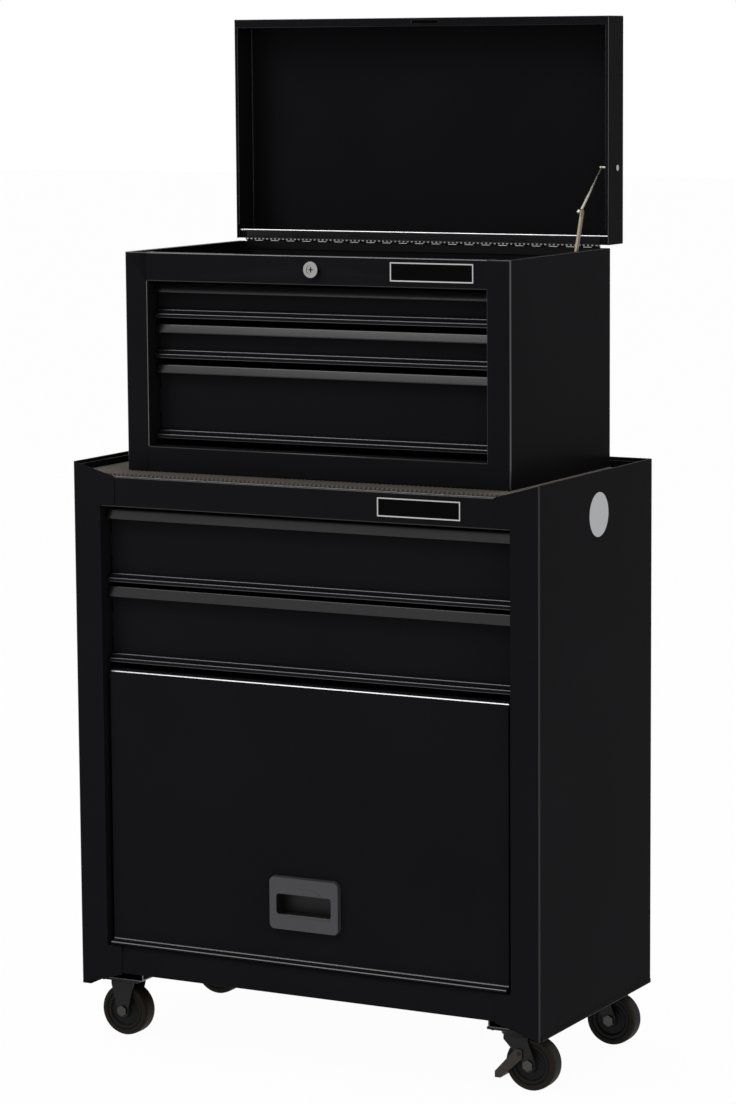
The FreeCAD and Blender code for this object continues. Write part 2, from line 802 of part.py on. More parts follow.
# Chest shell
def chest_sides():
    plan = folded(
        [("chest_half", "chest_back_y - gauge"), ("chest_half", "chest_front", "bend"),
         ("chest_opening", "chest_front"), ("chest_opening", "chest_front + chest_return")], "gauge", "right")
    wall = prism("chest_wall", "top", plan, "chest_foot", "chest_height")
    rim = block("chest_side_rim", "chest_half - rim_depth", "chest_front + gauge", "chest_top - gauge",
                "rim_depth - gauge", "chest_depth - 2 * gauge", "gauge")
    fold = block("chest_side_fold", "chest_opening", "chest_front + chest_return", "chest_foot + rim_depth",
                 "gauge", "chest_fold", "till_floor - gauge - chest_foot - rim_depth")
    boss = rod("stay_boss", "x", "chest_half - stay_in + stay_bar_gauge + running_gap",
               "hinge_y + stay_foot_back", "hinge_z + stay_foot_up", "stay_rivet",
               "stay_in - gauge / 2 - stay_bar_gauge - running_gap")
    pivot = rod("stay_pivot", "x", "chest_half - stay_in - running_gap / 2", "hinge_y + stay_foot_back",
                "hinge_z + stay_foot_up", "stay_rod", "stay_in")
    right = fused("chest_right_side", [wall, rim, fold, boss, pivot])
    left = fused("chest_left_plain", [wall, rim, fold])
    piece("chest_right_side", right)
    piece("chest_left_side", mirrored("chest_left_side", left))


def chest_back():
    plan = folded(
        [("chest_half - gauge", "chest_back_y - back_flange"),
         ("chest_half - gauge", "chest_back_y - gauge"),
         ("-chest_half + gauge", "chest_back_y - gauge"),
         ("-chest_half + gauge", "chest_back_y - back_flange")],
        "gauge", "left")
    flanges = prism("chest_back_flanges", "top", plan, "chest_foot + rim_depth",
                    "till_floor - gauge - chest_foot - rim_depth")
    skin = block("chest_back_skin", "-chest_half", "chest_back_y - gauge", "chest_foot",
                 "chest_width", "gauge", "chest_height")
    piece("chest_back", fused("chest_back", [skin, flanges]))


def chest_front_pieces():
    face = "chest_front"
    header = prism(
        "chest_header", "side",
        folded([(f"{face} + chest_return", "till_floor"), (face, "till_floor", "bend"),
                (face, "chest_top", "bend"), (f"{face} + rim_depth", "chest_top"),
                (f"{face} + rim_depth", "chest_top - chest_hem")],
               "gauge", "right"),
        "-chest_opening", "2 * chest_opening")
    bore = rod("lock_hole", "y", "0", "chest_front - over", "lock_z", "lock_radius", "gauge + 2 * over")
    piece("chest_front_rail", cut("chest_front_rail", header, [bore]))
    floor = open_pan("chest_floor", "-chest_half + gauge", "chest_front + chest_return", "chest_foot",
                     "2 * (chest_half - gauge)", "chest_depth - chest_return - gauge", "rim_depth", "gauge")
    rail = prism(
        "chest_bottom_rail", "side",
        folded([(f"{face} + chest_return + 2 * gauge", "chest_foot"), (face, "chest_foot", "bend"),
                (face, "chest_rail_top", "bend"), (f"{face} + chest_return", "chest_rail_top"),
                (f"{face} + chest_return", "chest_rail_top - rail_lip")], "gauge", "right"),
        "-chest_opening", "2 * chest_opening")
    piece("chest_base_pan", fused("chest_base_pan", [floor, rail]))
    till = block("till_sheet", "-chest_half + gauge", "chest_front + chest_return", "till_floor - gauge",
                 "2 * (chest_half - gauge)", "chest_depth - chest_return - 2 * gauge", "gauge")
    slot = block("till_stay_slot", "chest_half - stay_in - till_slot_side", "hinge_y - till_slot_back",
                 "till_floor - 3 * over", "stay_in - 2 * gauge", "till_slot_run", "6 * over")
    rear = block("till_rear", "-chest_half + rim_depth", "chest_back_y - 4 * gauge", "till_floor - gauge",
                 "2 * (chest_half - rim_depth)", "gauge", "till_lip")
    piece("chest_till_floor", cut("chest_till_floor", fused("till_pan", [till, rear]), [slot]))


# Lock: round housing in the chest header, and its plug with the cam behind it
def chest_lock():
    bezel = rod("lock_bezel_disc", "y", "0", "chest_front - lock_proud", "lock_z", "lock_bezel", "lock_proud")
    barrel = rod("lock_barrel", "y", "0", "chest_front - lock_proud", "lock_z", "lock_radius", "lock_length")
    nut = prism("lock_nut", "front", ring("lock_bezel", 6, "0", "lock_z"), "chest_front + gauge", "2 * gauge")
    bore = rod("lock_bore", "y", "0", "chest_front - lock_proud - over", "lock_z", "plug_radius + pin_gap",
               "lock_length + 2 * over")
    housing = cut("lock_housing", fused("lock_body", [bezel, barrel, nut]), [bore])
    piece("lock_housing", housing)
    plug = rod("plug_core", "y", "0", "chest_front - lock_proud + plug_sink", "lock_z",
               "plug_radius", "lock_length")
    keyway = block("plug_keyway", "-key_width / 2", "chest_front - lock_proud", "lock_z - key_height / 2",
                   "key_width", "key_depth", "key_height")
    cam = prism(
        "plug_cam", "front",
        [("-cam_width / 2", "lock_z - cam_width / 2", "cam_gauge"),
         ("cam_length", "lock_z - cam_width / 2", "cam_gauge"),
         ("cam_length", "lock_z + cam_width / 2", "cam_gauge"),
         ("-cam_width / 2", "lock_z + cam_width / 2", "cam_gauge")],
        "chest_front - lock_proud + lock_length + cam_gap", "cam_gauge")
    piece("lock_plug", fused("lock_plug", [cut("plug_slotted", plug, [keyway]), cam]))


# Lid: a shallow pan, open towards the front while the lid stands up
def chest_lid():
    section = folded(
        [("leaf_plane", "lid_foot + lid_lip"), ("leaf_plane", "lid_foot"),
         ("lid_face", "lid_foot", "lid_corner"), ("lid_face", "lid_top", "lid_corner"),
         ("lid_edge", "lid_top"), ("lid_edge", "lid_top - lid_lip")], "gauge", "left")
    sheet = prism("lid_sheet", "side", section, "-chest_half", "chest_width")
    side_plates = []
    for index, x in enumerate(("-chest_half", "chest_half - gauge")):
        outline = [("lid_edge", "lid_foot"), ("lid_face - lid_nick", "lid_foot"),
                   ("lid_face", "lid_foot + lid_nick"), ("lid_face", "lid_top - lid_nick"),
                   ("lid_face - lid_nick", "lid_top"), ("lid_edge", "lid_top")]
        side_plates.append(prism(f"lid_side_{index}", "side", outline, x, "gauge"))
    for index, x in enumerate(("-chest_half + gauge", "chest_half - gauge - lid_hem")):
        hem = block(f"lid_side_hem_{index}", x, "lid_edge", "lid_foot + lid_lip + lid_hem_gap",
                    "lid_hem", "gauge", "lid_top - lid_foot - lid_lip - lid_hem_gap - 2 * gauge")
        side_plates.append(hem)
    slot = block("lid_slot", "slot_shift - slot_length / 2", "lid_edge - over", "lid_top - slot_down",
                 "slot_length", "gauge + 2 * over", "slot_width")
    pin_y, pin_z = stay_point("lid")
    pin_hole = rod("lid_stay_hole", "x", "chest_half - 2 * gauge", pin_y, pin_z,
                   "stay_pin + pin_gap", "3 * gauge")
    piece("lid_shell", cut("lid_shell", fused("lid_pan", [sheet] + side_plates), [slot, pin_hole]))


# Piano hinge: a leaf on the chest back, a leaf on the lid, and one long pin
def ring(radius, count, centre_y, centre_z):
    """Corners of a regular outline whose flats touch the circle of that radius."""
    reach = 1 / math.cos(math.pi / count)
    return [
        (f"{centre_y} + {reach * math.cos(math.pi * (2 * i + 1) / count):.6f} * ({radius})",
         f"{centre_z} + {reach * math.sin(math.pi * (2 * i + 1) / count):.6f} * ({radius})")
        for i in range(count)
    ]


def piano_hinge():
    count = int((value("chest_width") - 2 * value("rim_depth")) / value("knuckle_pitch"))
    start = f"-{count} * knuckle_pitch / 2"
    length = f"{count} * knuckle_pitch"
    play = "knuckle_play / 2"
    clear = "knuckle_radius + running_gap"
    plate_y = "leaf_plane - gauge"

    def leaf(node, first, plate_z, plate_height, gap_z):
        plate = block(f"{node}_plate", start, plate_y, plate_z, length, "gauge", plate_height)
        gaps = []
        barrels = []
        for index in range(count):
            x = f"{start} + {index} * knuckle_pitch"
            if index % 2 == first:
                barrels.append(prism(
                    f"{node}_barrel_{index}", "side", ring("knuckle_radius", 8, "hinge_y", "hinge_z"),
                    f"{x} + {play}", "knuckle_pitch - knuckle_play"))
            else:
                gaps.append(block(f"{node}_gap_{index}", f"{x} - {play}", f"{plate_y} - over", gap_z,
                                  "knuckle_pitch + knuckle_play", "gauge + 2 * over", f"{clear} + over"))
        bore = prism(f"{node}_bore", "side", ring("hinge_pin_radius + pin_gap", 6, "hinge_y", "hinge_z"),
                     f"{start} - over", f"{length} + 2 * over")
        slotted = cut(f"{node}_slotted", plate, gaps)
        piece(node, cut(node, fused(f"{node}_whole", [slotted] + barrels), [bore]))

    leaf("hinge_leaf_chest", 0, "hinge_z - leaf_height", "leaf_height", f"hinge_z - ({clear})")
    leaf("hinge_leaf_lid", 1, "hinge_z", "lid_leaf", "hinge_z - over")
    piece("hinge_pin", rod("hinge_pin", "x", start, "hinge_y", "hinge_z", "hinge_pin_radius", length))


# Folding lid stay on the right: a wire rod on the lid and a flat bar on the chest wall
def stay_point(name):
    return f"(hinge_y + stay_{name}_back)", f"(hinge_z + stay_{name}_up)"


def lid_stay():
    lid_y, lid_z = stay_point("lid")
    knee_y, knee_z = stay_point("knee")
    foot_y, foot_z = stay_point("foot")
    rod_x = "chest_half - stay_in - stay_rod - running_gap"
    pin_x = f"{rod_x} - stay_rod - running_gap"
    rivet = rod("stay_pin", "x", pin_x, lid_y, lid_z, "stay_pin", f"chest_half + gauge - ({pin_x})")
    head = rod("stay_head_disc", "x", "chest_half + running_gap", lid_y, lid_z, "stay_rivet", "gauge")
    rise, run = value(lid_z) - value(knee_z), value(lid_y) - value(knee_y)
    wire = doc.addObject("Part::Cylinder", "stay_wire")
    wire.Placement = FreeCAD.Placement(
        FreeCAD.Vector(), FreeCAD.Rotation(FreeCAD.Vector(1, 0, 0), -math.degrees(math.atan2(run, rise))))
    place(wire, rod_x, knee_y, knee_z)
    bind(wire, "Radius", "stay_rod")
    bind(wire, "Height", f"sqrt(({lid_z} - {knee_z})^2 + ({lid_y} - {knee_y})^2)")
    eye = rod("stay_eye_disc", "x", f"{rod_x} - stay_eye / 2", knee_y, knee_z,
              "stay_bar_width / 2", "stay_eye")
    screw = rod("stay_knee_screw", "x", f"{rod_x} - stay_screw_out", knee_y, knee_z, "stay_screw", "stay_rod")
    piece("stay_rod", fused("stay_rod", [rivet, head, wire, eye, screw]))
    bar_x = "chest_half - stay_in"
    length = f"sqrt(({knee_z} - {foot_z})^2 + ({knee_y} - {foot_y})^2)"
    bar = block("bar_blank", "0", "-stay_bar_width / 2", "0", "stay_bar_gauge", "stay_bar_width", length)
    rib = block("bar_rib", "0", "-stay_bar_width / 2", "rib_start", "rib_depth", "stay_bar_gauge",
                f"{length} - rib_short")
    ends = [rod(f"bar_end_{index}", "x", "0", "0", z, "stay_bar_width / 2", "stay_bar_gauge")
            for index, z in enumerate(("0", length))]
    whole = fused("bar_upright", [bar, rib] + ends)
    hole = rod("bar_hole", "x", "-over", "0", "0", "stay_rod + pin_gap", "4 * over")
    upright = cut("stay_bar", whole, [hole])
    lean = math.degrees(math.atan2(value(knee_y) - value(foot_y), value(knee_z) - value(foot_z)))
    upright.Placement = FreeCAD.Placement(FreeCAD.Vector(), FreeCAD.Rotation(FreeCAD.Vector(1, 0, 0), -lean))
    place(upright, bar_x, foot_y, foot_z)
    piece("stay_bar", upright)


# Casters
def revolved(name, sections, turn):
    body = doc.addObject("PartDesign::Body", name)
    for index, corners in enumerate(sections):
        feature = body.newObject("PartDesign::Revolution", f"{name}_turned_{index}")
        sketch = body_sketch(body, f"{name}_profile_{index}", corners)
        feature.Profile = sketch
        feature.ReferenceAxis = (sketch, ["H_Axis"])
        feature.Angle = 360
    body.Placement = FreeCAD.Placement(FreeCAD.Vector(), turn)
    return body


WHEEL_TURN = FreeCAD.Rotation(FreeCAD.Vector(0, 0, 1), 90)


def wheel(name, x, y):
    half = "wheel_width / 2"
    rim = "wheel_radius - tyre_wall"
    hub = revolved(f"{name}_hub", [[
        (f"-{half} - hub_proud", "hub_bore"), (f"{half} + hub_proud", "hub_bore"),
        (f"{half} + hub_proud", "hub_bore + hub_wall"), (f"{half} - hub_dish", "hub_bore + hub_wall"),
        (f"{half} - hub_dish", rim), (f"-{half} + hub_dish", rim),
        (f"-{half} + hub_dish", "hub_bore + hub_wall"), (f"-{half} - hub_proud", "hub_bore + hub_wall")]],
        WHEEL_TURN)
    place(hub, x, y, "axle_z")
    tyre = revolved(f"{name}_tyre", [[
        (f"-{half}", rim), (half, rim), (half, "wheel_radius"), (f"-{half}", "wheel_radius")]], WHEEL_TURN)
    place(tyre, x, y, "axle_z")
    piece(f"{name}_hub", hub)
    piece(f"{name}_tyre", tyre)


def axle(name, x, y):
    shank = rod(name + "_shank", "y", x, f"{y} - fork_face", "axle_z", "axle_radius", "2 * fork_face")
    ends = [prism(f"{name}_{end}", "front", ring("axle_head", 6, x, "axle_z"), start, "axle_cap")
            for end, start in (("head", f"{y} - fork_face - axle_cap"), ("nut", f"{y} + fork_face"))]
    return fused(name, [shank] + ends)


def fork_legs(name, x, lead, y, top):
    """A pressed fork: two tapering legs and the crown that joins them."""
    near, far = f"{y} - fork_face", f"{y} + fork_face"
    foot = "axle_z - fork_end / 2"
    arch = prism(
        name + "_arch", "side",
        folded([(near, foot), (near, top, "arch_round"), (far, top, "arch_round"), (far, foot)],
               "fork_gauge", "right"),
        f"{x} - plate_long / 2", "plate_long")
    outline = [
        (f"{lead} - fork_end / 2", foot, "fork_end / 2 - fork_nick"),
        (f"{lead} + fork_end / 2", foot, "fork_end / 2 - fork_nick"),
        (f"{lead} + fork_end / 2", "axle_z + fork_waist"),
        (f"{x} + fork_top / 2", f"{top} - fork_shoulder"), (f"{x} + fork_top / 2", f"{top} + over"),
        (f"{x} - fork_top / 2", f"{top} + over"), (f"{x} - fork_top / 2", f"{top} - fork_shoulder"),
        (f"{lead} - fork_end / 2", "axle_z + fork_waist")]
    start, length = f"{near} - over", "2 * (fork_face + over)"
    shape = prism(name + "_outline_solid", "front", outline, start, length)
    common = doc.addObject("Part::MultiCommon", name + "_blade")
    common.Shapes = [arch, shape]
    bore = rod(name + "_bore", "y", lead, start, "axle_z", "axle_radius", length)
    return cut(name + "_legs", common, [bore])


def caster_plate(name, x, y):
    corners = [(f"{x} {across} plate_long / 2", f"{y} {along} plate_wide / 2", "plate_round")
               for across, along in (("-", "-"), ("+", "-"), ("+", "+"), ("-", "+"))]
    return prism(name, "top", corners, "plate_top - plate_gauge", "plate_gauge")


def rigid_casters():
    forks, axles = [], []
    for name, y in (("rigid_front", "front_caster_y"), ("rigid_rear", "rear_caster_y")):
        legs = fork_legs(name, "rigid_x", "rigid_x", y, "plate_top - plate_gauge")
        forks.append(fused(name + "_fork", [legs, caster_plate(name + "_plate", "rigid_x", y)]))
        axles.append(axle(name + "_axle", "rigid_x", y))
        wheel(f"{name}_wheel", "rigid_x", y)
    piece("rigid_caster_forks", group("rigid_caster_forks", forks))
    piece("rigid_caster_axles", group("rigid_caster_axles", axles))


# Brake pedal on the front swivel fork; the pin it turns on is part of the fork
def brake_pedal(y):
    pin_x, pin_z = "lead_x - pedal_back", "axle_z + pedal_up"
    face = f"{y} - fork_face - running_gap - pedal_gauge"
    outline = [
        ("lead_x - pedal_toe", "axle_z + pedal_low", "pedal_round"),
        ("lead_x - pedal_back - pedal_end", "axle_z + pedal_low", "pedal_round"),
        ("lead_x - pedal_reach", "axle_z - pedal_back"), ("lead_x - pedal_reach", "axle_z - pedal_low"),
        ("lead_x - pedal_reach + pedal_toe", "axle_z - pedal_low"),
        ("lead_x - pedal_toe", "axle_z + pedal_toe", "pedal_gauge")]
    arm = prism("pedal_arm", "front", outline, face, "pedal_gauge")
    toe = block("pedal_toe_plate", "lead_x - pedal_reach", face, "axle_z - pedal_low",
                "pedal_toe", "wheel_width", "pedal_gauge")
    hole = rod("pedal_hole", "y", pin_x, f"{face} - over", pin_z, "pedal_pin + pin_gap",
               "pedal_gauge + 2 * over")
    piece("brake_pedal", cut("brake_pedal", fused("pedal_plate", [arm, toe]), [hole]))
    return rod("pedal_pin_shank", "y", pin_x, f"{face} - running_gap", pin_z, "pedal_pin",
               "pedal_gauge + 2 * running_gap + fork_gauge / 2")


def swivel_casters():
    plates = []
    for name, y in (("swivel_front", "front_caster_y"), ("swivel_rear", "rear_caster_y")):
        plate = caster_plate(name + "_plate", "king_x", y)
        race = rod(name + "_race", "z", "king_x", y, "fork_crown + race_gap", "race_radius",
                   "race_height - race_gap")
        pin = rod(name + "_kingpin", "z", "king_x", y, "fork_crown - kingpin_down", "kingpin_radius",
                  "kingpin_length")
        pin_head = prism(name + "_kingpin_head", "top", ring("kingpin_head", 6, "king_x", y),
                         "fork_crown - fork_gauge - race_gap - kingpin_cap", "kingpin_cap")
        plates.append(fused(name + "_top", [plate, race, pin, pin_head]))
        legs = fork_legs(name, "king_x + yoke_shift", "lead_x", y, "fork_crown")
        king_bore = rod(name + "_king_bore", "z", "king_x", y, "fork_crown - kingpin_length",
                        "kingpin_radius + pin_gap", "kingpin_length + 2 * over")
        crown = rod(name + "_crown", "z", "king_x", y, "fork_crown - fork_gauge", "race_radius",
                    "fork_gauge")
        yoke = [legs, crown]
        if name == "swivel_front":
            yoke.append(brake_pedal(y))
        piece(f"{name}_fork", cut(name + "_fork", fused(name + "_yoke", yoke), [king_bore]))
        piece(f"{name}_axle", axle(name + "_axle", "lead_x", y))
        wheel(f"{name}_wheel", "lead_x", y)
    piece("swivel_caster_plates", group("swivel_caster_plates", plates))


cabinet_sides()
cabinet_back()
cabinet_rails()
cabinet_top()
cabinet_base()
cabinet_drawers()
cabinet_door()
door_handle()
chest_sides()
chest_back()
chest_front_pieces()
chest_drawers()
chest_lock()
chest_lid()
piano_hinge()
lid_stay()
rigid_casters()
swivel_casters()
doc.recompute()

# Nothing is written unless every object is sound
for thing in doc.Objects:
    if "Invalid" in thing.State or "Error" in thing.State:
        raise RuntimeError(f"{thing.Name} did not rebuild: {thing.State}")
for thing in PIECES:
    if thing.Shape.isNull() or not thing.Shape.isValid():
        raise RuntimeError(f"{thing.Label} has no valid shape")

os.makedirs("parts", exist_ok=True)
for thing in PIECES:
    thing.Shape.exportStep(f"parts/{thing.Label}.step")
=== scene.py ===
import bpy
import bmesh
import json
import math
from mathutils import Matrix, Vector

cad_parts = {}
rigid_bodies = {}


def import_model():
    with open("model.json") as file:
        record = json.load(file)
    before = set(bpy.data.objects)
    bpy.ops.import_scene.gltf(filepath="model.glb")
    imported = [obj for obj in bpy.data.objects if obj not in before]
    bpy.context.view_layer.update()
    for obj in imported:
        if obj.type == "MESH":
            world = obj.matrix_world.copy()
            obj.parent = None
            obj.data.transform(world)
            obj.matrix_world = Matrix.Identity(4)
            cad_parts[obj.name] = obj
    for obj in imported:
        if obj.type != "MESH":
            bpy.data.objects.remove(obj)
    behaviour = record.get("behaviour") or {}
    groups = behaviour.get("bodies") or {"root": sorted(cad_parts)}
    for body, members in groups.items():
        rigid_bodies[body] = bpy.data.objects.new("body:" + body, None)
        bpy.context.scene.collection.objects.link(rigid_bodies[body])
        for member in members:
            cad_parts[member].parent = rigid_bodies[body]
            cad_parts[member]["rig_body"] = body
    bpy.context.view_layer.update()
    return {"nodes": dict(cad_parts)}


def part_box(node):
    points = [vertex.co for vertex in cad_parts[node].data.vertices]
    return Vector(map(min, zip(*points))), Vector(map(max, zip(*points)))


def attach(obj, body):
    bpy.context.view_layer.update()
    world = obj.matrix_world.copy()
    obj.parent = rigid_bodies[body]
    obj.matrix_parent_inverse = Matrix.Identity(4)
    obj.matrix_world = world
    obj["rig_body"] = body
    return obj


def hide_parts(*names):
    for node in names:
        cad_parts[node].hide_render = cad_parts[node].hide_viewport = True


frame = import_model()

# The camera stands to the right of the chest, a little above it, as in the photograph.
# It is a long lens, so the cabinet's sides stay nearly parallel.
eye = Vector((2.2740, -4.2265, 1.3058))
turn, tilt, roll = math.radians(28.2), math.radians(-7.76), math.radians(-0.42)
level = Vector((-math.sin(turn), math.cos(turn), 0))
across = Vector((math.cos(turn), math.sin(turn), 0))
ahead = level * math.cos(tilt) + Vector((0, 0, math.sin(tilt)))
upward = Vector((0, 0, math.cos(tilt))) - level * math.sin(tilt)
right = across * math.cos(roll) + upward * math.sin(roll)
top = upward * math.cos(roll) - across * math.sin(roll)
camera = bpy.data.objects.new("camera", bpy.data.cameras.new("camera"))
camera.matrix_world = Matrix((
    (right.x, top.x, -ahead.x, eye.x),
    (right.y, top.y, -ahead.y, eye.y),
    (right.z, top.z, -ahead.z, eye.z),
    (0, 0, 0, 1)))
camera.data.sensor_width = 36
camera.data.lens = 120.86
bpy.context.scene.collection.objects.link(camera)
bpy.context.scene.camera = camera
bpy.context.scene.view_settings.view_transform = "Standard"


# Studio: a pale floor and a white surround, which metal and glossy paint mirror as well.
# The floor keeps the soft shadow between the casters.
def background_rays(nodes, links):
    """1 where the camera, a mirror or glass looks at the surround, 0 where it only lights."""
    path = nodes.new("ShaderNodeLightPath")
    either = nodes.new("ShaderNodeMath")
    either.operation = "MAXIMUM"
    links.new(path.outputs["Is Camera Ray"], either.inputs[0])
    links.new(path.outputs["Is Glossy Ray"], either.inputs[1])
    seen = nodes.new("ShaderNodeMath")
    seen.operation = "MAXIMUM"
    links.new(either.outputs[0], seen.inputs[0])
    links.new(path.outputs["Is Transmission Ray"], seen.inputs[1])
    return seen.outputs[0]


world = bpy.data.worlds.new("studio")
bpy.context.scene.world = world
world.use_nodes = True
nodes, links = world.node_tree.nodes, world.node_tree.links
nodes.clear()
ambient, surround = nodes.new("ShaderNodeBackground"), nodes.new("ShaderNodeBackground")
ambient.inputs["Color"].default_value = (1, 1, 1, 1)
ambient.inputs["Strength"].default_value = 0.55
surround.inputs["Color"].default_value = (1, 1, 1, 1)
surround.inputs["Strength"].default_value = 1.0
choose, output = nodes.new("ShaderNodeMixShader"), nodes.new("ShaderNodeOutputWorld")
links.new(background_rays(nodes, links), choose.inputs[0])
links.new(ambient.outputs[0], choose.inputs[1])
links.new(surround.outputs[0], choose.inputs[2])
links.new(choose.outputs[0], output.inputs["Surface"])

floor_mesh = bpy.data.meshes.new("floor")
shape = bmesh.new()
bmesh.ops.create_grid(shape, x_segments=1, y_segments=1, size=30)
shape.to_mesh(floor_mesh)
shape.free()
floor = bpy.data.objects.new("floor", floor_mesh)
bpy.context.scene.collection.objects.link(floor)
floor_finish = bpy.data.materials.new("pale_floor")
floor_finish.use_nodes = True
nodes, links = floor_finish.node_tree.nodes, floor_finish.node_tree.links
nodes.clear()
lit, white = nodes.new("ShaderNodeBsdfDiffuse"), nodes.new("ShaderNodeEmission")
lit.inputs["Color"].default_value = (0.86, 0.86, 0.86, 1)
white.inputs["Strength"].default_value = 1.0
share = nodes.new("ShaderNodeMath")
share.operation = "MULTIPLY"
share.inputs[1].default_value = 0.97
blend, output = nodes.new("ShaderNodeMixShader"), nodes.new("ShaderNodeOutputMaterial")
links.new(background_rays(nodes, links), share.inputs[0])
links.new(share.outputs[0], blend.inputs[0])
links.new(lit.outputs[0], blend.inputs[1])
links.new(white.outputs[0], blend.inputs[2])
links.new(blend.outputs[0], output.inputs["Surface"])
floor_mesh.materials.append(floor_finish)

for name, place, size, watts in (
        ("key_lamp", (-1.9, -2.1, 3.9), 1.6, 54),
        ("side_lamp", (3.8, -0.6, 2.2), 1.4, 3),
        ("top_lamp", (0.2, 0.8, 4.0), 1.8, 34)):
    lamp = bpy.data.objects.new(name, bpy.data.lights.new(name, "AREA"))
    lamp.data.size = size
    lamp.data.energy = watts
    lamp.location = place
    lamp.rotation_euler = (Vector((0, 0, 0.7)) - Vector(place)).to_track_quat("-Z", "Y").to_euler()
    bpy.context.scene.collection.objects.link(lamp)


# Black enamel on sheet steel: baked on, smooth, with a faint orange peel on the flat faces.
# Every folded sheet of the cabinet, chest, lid, drawers and door has it; where the sheet is rolled
# over, along the folds and on the drawer pulls, the paint flows out thinner and shines.
# On the sharpest folds a pale metal colour is painted on the bevels as one fine bright line: a painted
# highlight.
def finish(name, colour, roughness, metallic=0.0, specular=0.5, grain=0.0, grain_scale=400.0, depth=0.0002,
           shade=0.0):
    """A finish with a fine bump and a slow drift in its roughness and tone."""
    made = bpy.data.materials.new(name)
    made.use_nodes = True
    nodes, links = made.node_tree.nodes, made.node_tree.links
    base = nodes["Principled BSDF"]
    base.inputs["Metallic"].default_value = metallic
    base.inputs["Specular IOR Level"].default_value = specular
    where = nodes.new("ShaderNodeTexCoord")
    slow, fine = nodes.new("ShaderNodeTexNoise"), nodes.new("ShaderNodeTexNoise")
    slow.inputs["Scale"].default_value = 5.0
    slow.inputs["Detail"].default_value = 4.0
    fine.inputs["Scale"].default_value = grain_scale
    fine.inputs["Detail"].default_value = 2.0
    links.new(where.outputs["Object"], slow.inputs["Vector"])
    links.new(where.outputs["Object"], fine.inputs["Vector"])
    rough, tone = nodes.new("ShaderNodeMapRange"), nodes.new("ShaderNodeMapRange")
    rough.inputs["To Min"].default_value = roughness * 0.85
    rough.inputs["To Max"].default_value = roughness * 1.15
    tone.inputs["To Min"].default_value = 1.0 - shade
    tone.inputs["To Max"].default_value = 1.0 + shade
    links.new(slow.outputs["Fac"], rough.inputs["Value"])
    links.new(slow.outputs["Fac"], tone.inputs["Value"])
    links.new(rough.outputs["Result"], base.inputs["Roughness"])
    tint = nodes.new("ShaderNodeMix")
    tint.data_type = "RGBA"
    tint.blend_type = "MULTIPLY"
    tint.inputs["Factor"].default_value = 1.0
    tint.inputs["A"].default_value = (*colour, 1)
    links.new(tone.outputs["Result"], tint.inputs["B"])
    links.new(tint.outputs["Result"], base.inputs["Base Color"])
    bump = nodes.new("ShaderNodeBump")
    bump.inputs["Strength"].default_value = grain
    bump.inputs["Distance"].default_value = depth
    links.new(fine.outputs["Fac"], bump.inputs["Height"])
    links.new(bump.outputs["Normal"], base.inputs["Normal"])
    return made


black_enamel = finish("black_enamel", (0.0100, 0.0095, 0.0108), 0.30, specular=0.003, grain=0.10,
                      grain_scale=330.0, shade=0.2)
rolled_enamel = finish("rolled_enamel", (0.0060, 0.0058, 0.0064), 0.22, specular=0.36, grain=0.05,
                       grain_scale=330.0, shade=0.15)
# Pale metal colour for the bevels of the folds: a painted highlight.
painted_fold_highlight = finish("painted_fold_highlight", (0.15, 0.15, 0.155), 0.30, metallic=1.0, grain=0.05, grain_scale=330.0,
                   shade=0.2)
# Grey metal colour along the chest's front rim and corners: a painted highlight.
painted_rim_highlight = finish("painted_rim_highlight", (0.080, 0.080, 0.083), 0.30, metallic=1.0, grain=0.05, grain_scale=330.0,
                   shade=0.2)
# Pale metal colour for the lid's lip bead: a painted highlight.
painted_bead_highlight = finish("painted_bead_highlight", (0.52, 0.52, 0.53), 0.28, metallic=1.0, grain=0.05, grain_scale=330.0,
                     shade=0.1)


def room_across(face, edge):
    """How far the face runs inwards from the middle of its edge."""
    loop = next(loop for loop in face.loops if loop.edge == edge)
    start, along = loop.vert.co, (loop.link_loop_next.vert.co - loop.vert.co).normalized()
    inward = face.normal.cross(along)
    middle = start + along * edge.calc_length() / 2
    nearest = 1.0
    for other in face.edges:
        (u0, v0), (u1, v1) = (((vert.co - middle).dot(along), (vert.co - middle).dot(inward))
                              for vert in other.verts)
        if other != edge and u0 * u1 <= 0 and abs(u0 - u1) > 1e-9:
            height = v0 - u0 * (v1 - v0) / (u1 - u0)
            if height > 1e-7:
                nearest = min(nearest, height)
    return nearest


def put(made, body, replaced=None):
    """Hands a finished piece to the frame."""
    if replaced:
        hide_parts(replaced)
    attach(made, body)
    return made


def made_of(name, shape, *layers, smooth=False):
    """A new piece from a finished shape, with its finishes in order."""
    mesh = bpy.data.meshes.new(name)
    for layer in layers:
        mesh.materials.append(layer)
    shape.to_mesh(mesh)
    shape.free()
    if smooth:
        for face in mesh.polygons:
            face.use_smooth = True
    made = bpy.data.objects.new(name, mesh)
    bpy.context.scene.collection.objects.link(made)
    return made


def mark_rolls(shape):
    """Gives the narrow facets of each rolled fold the second finish."""
    for face in shape.faces:
        turns = [edge for edge in face.edges
                 if len(edge.link_faces) == 2 and 0.05 < edge.calc_face_angle(0.0) < 0.67]
        face.material_index = 1 if any(room_across(face, edge) < 0.0035 for edge in turns) else 0


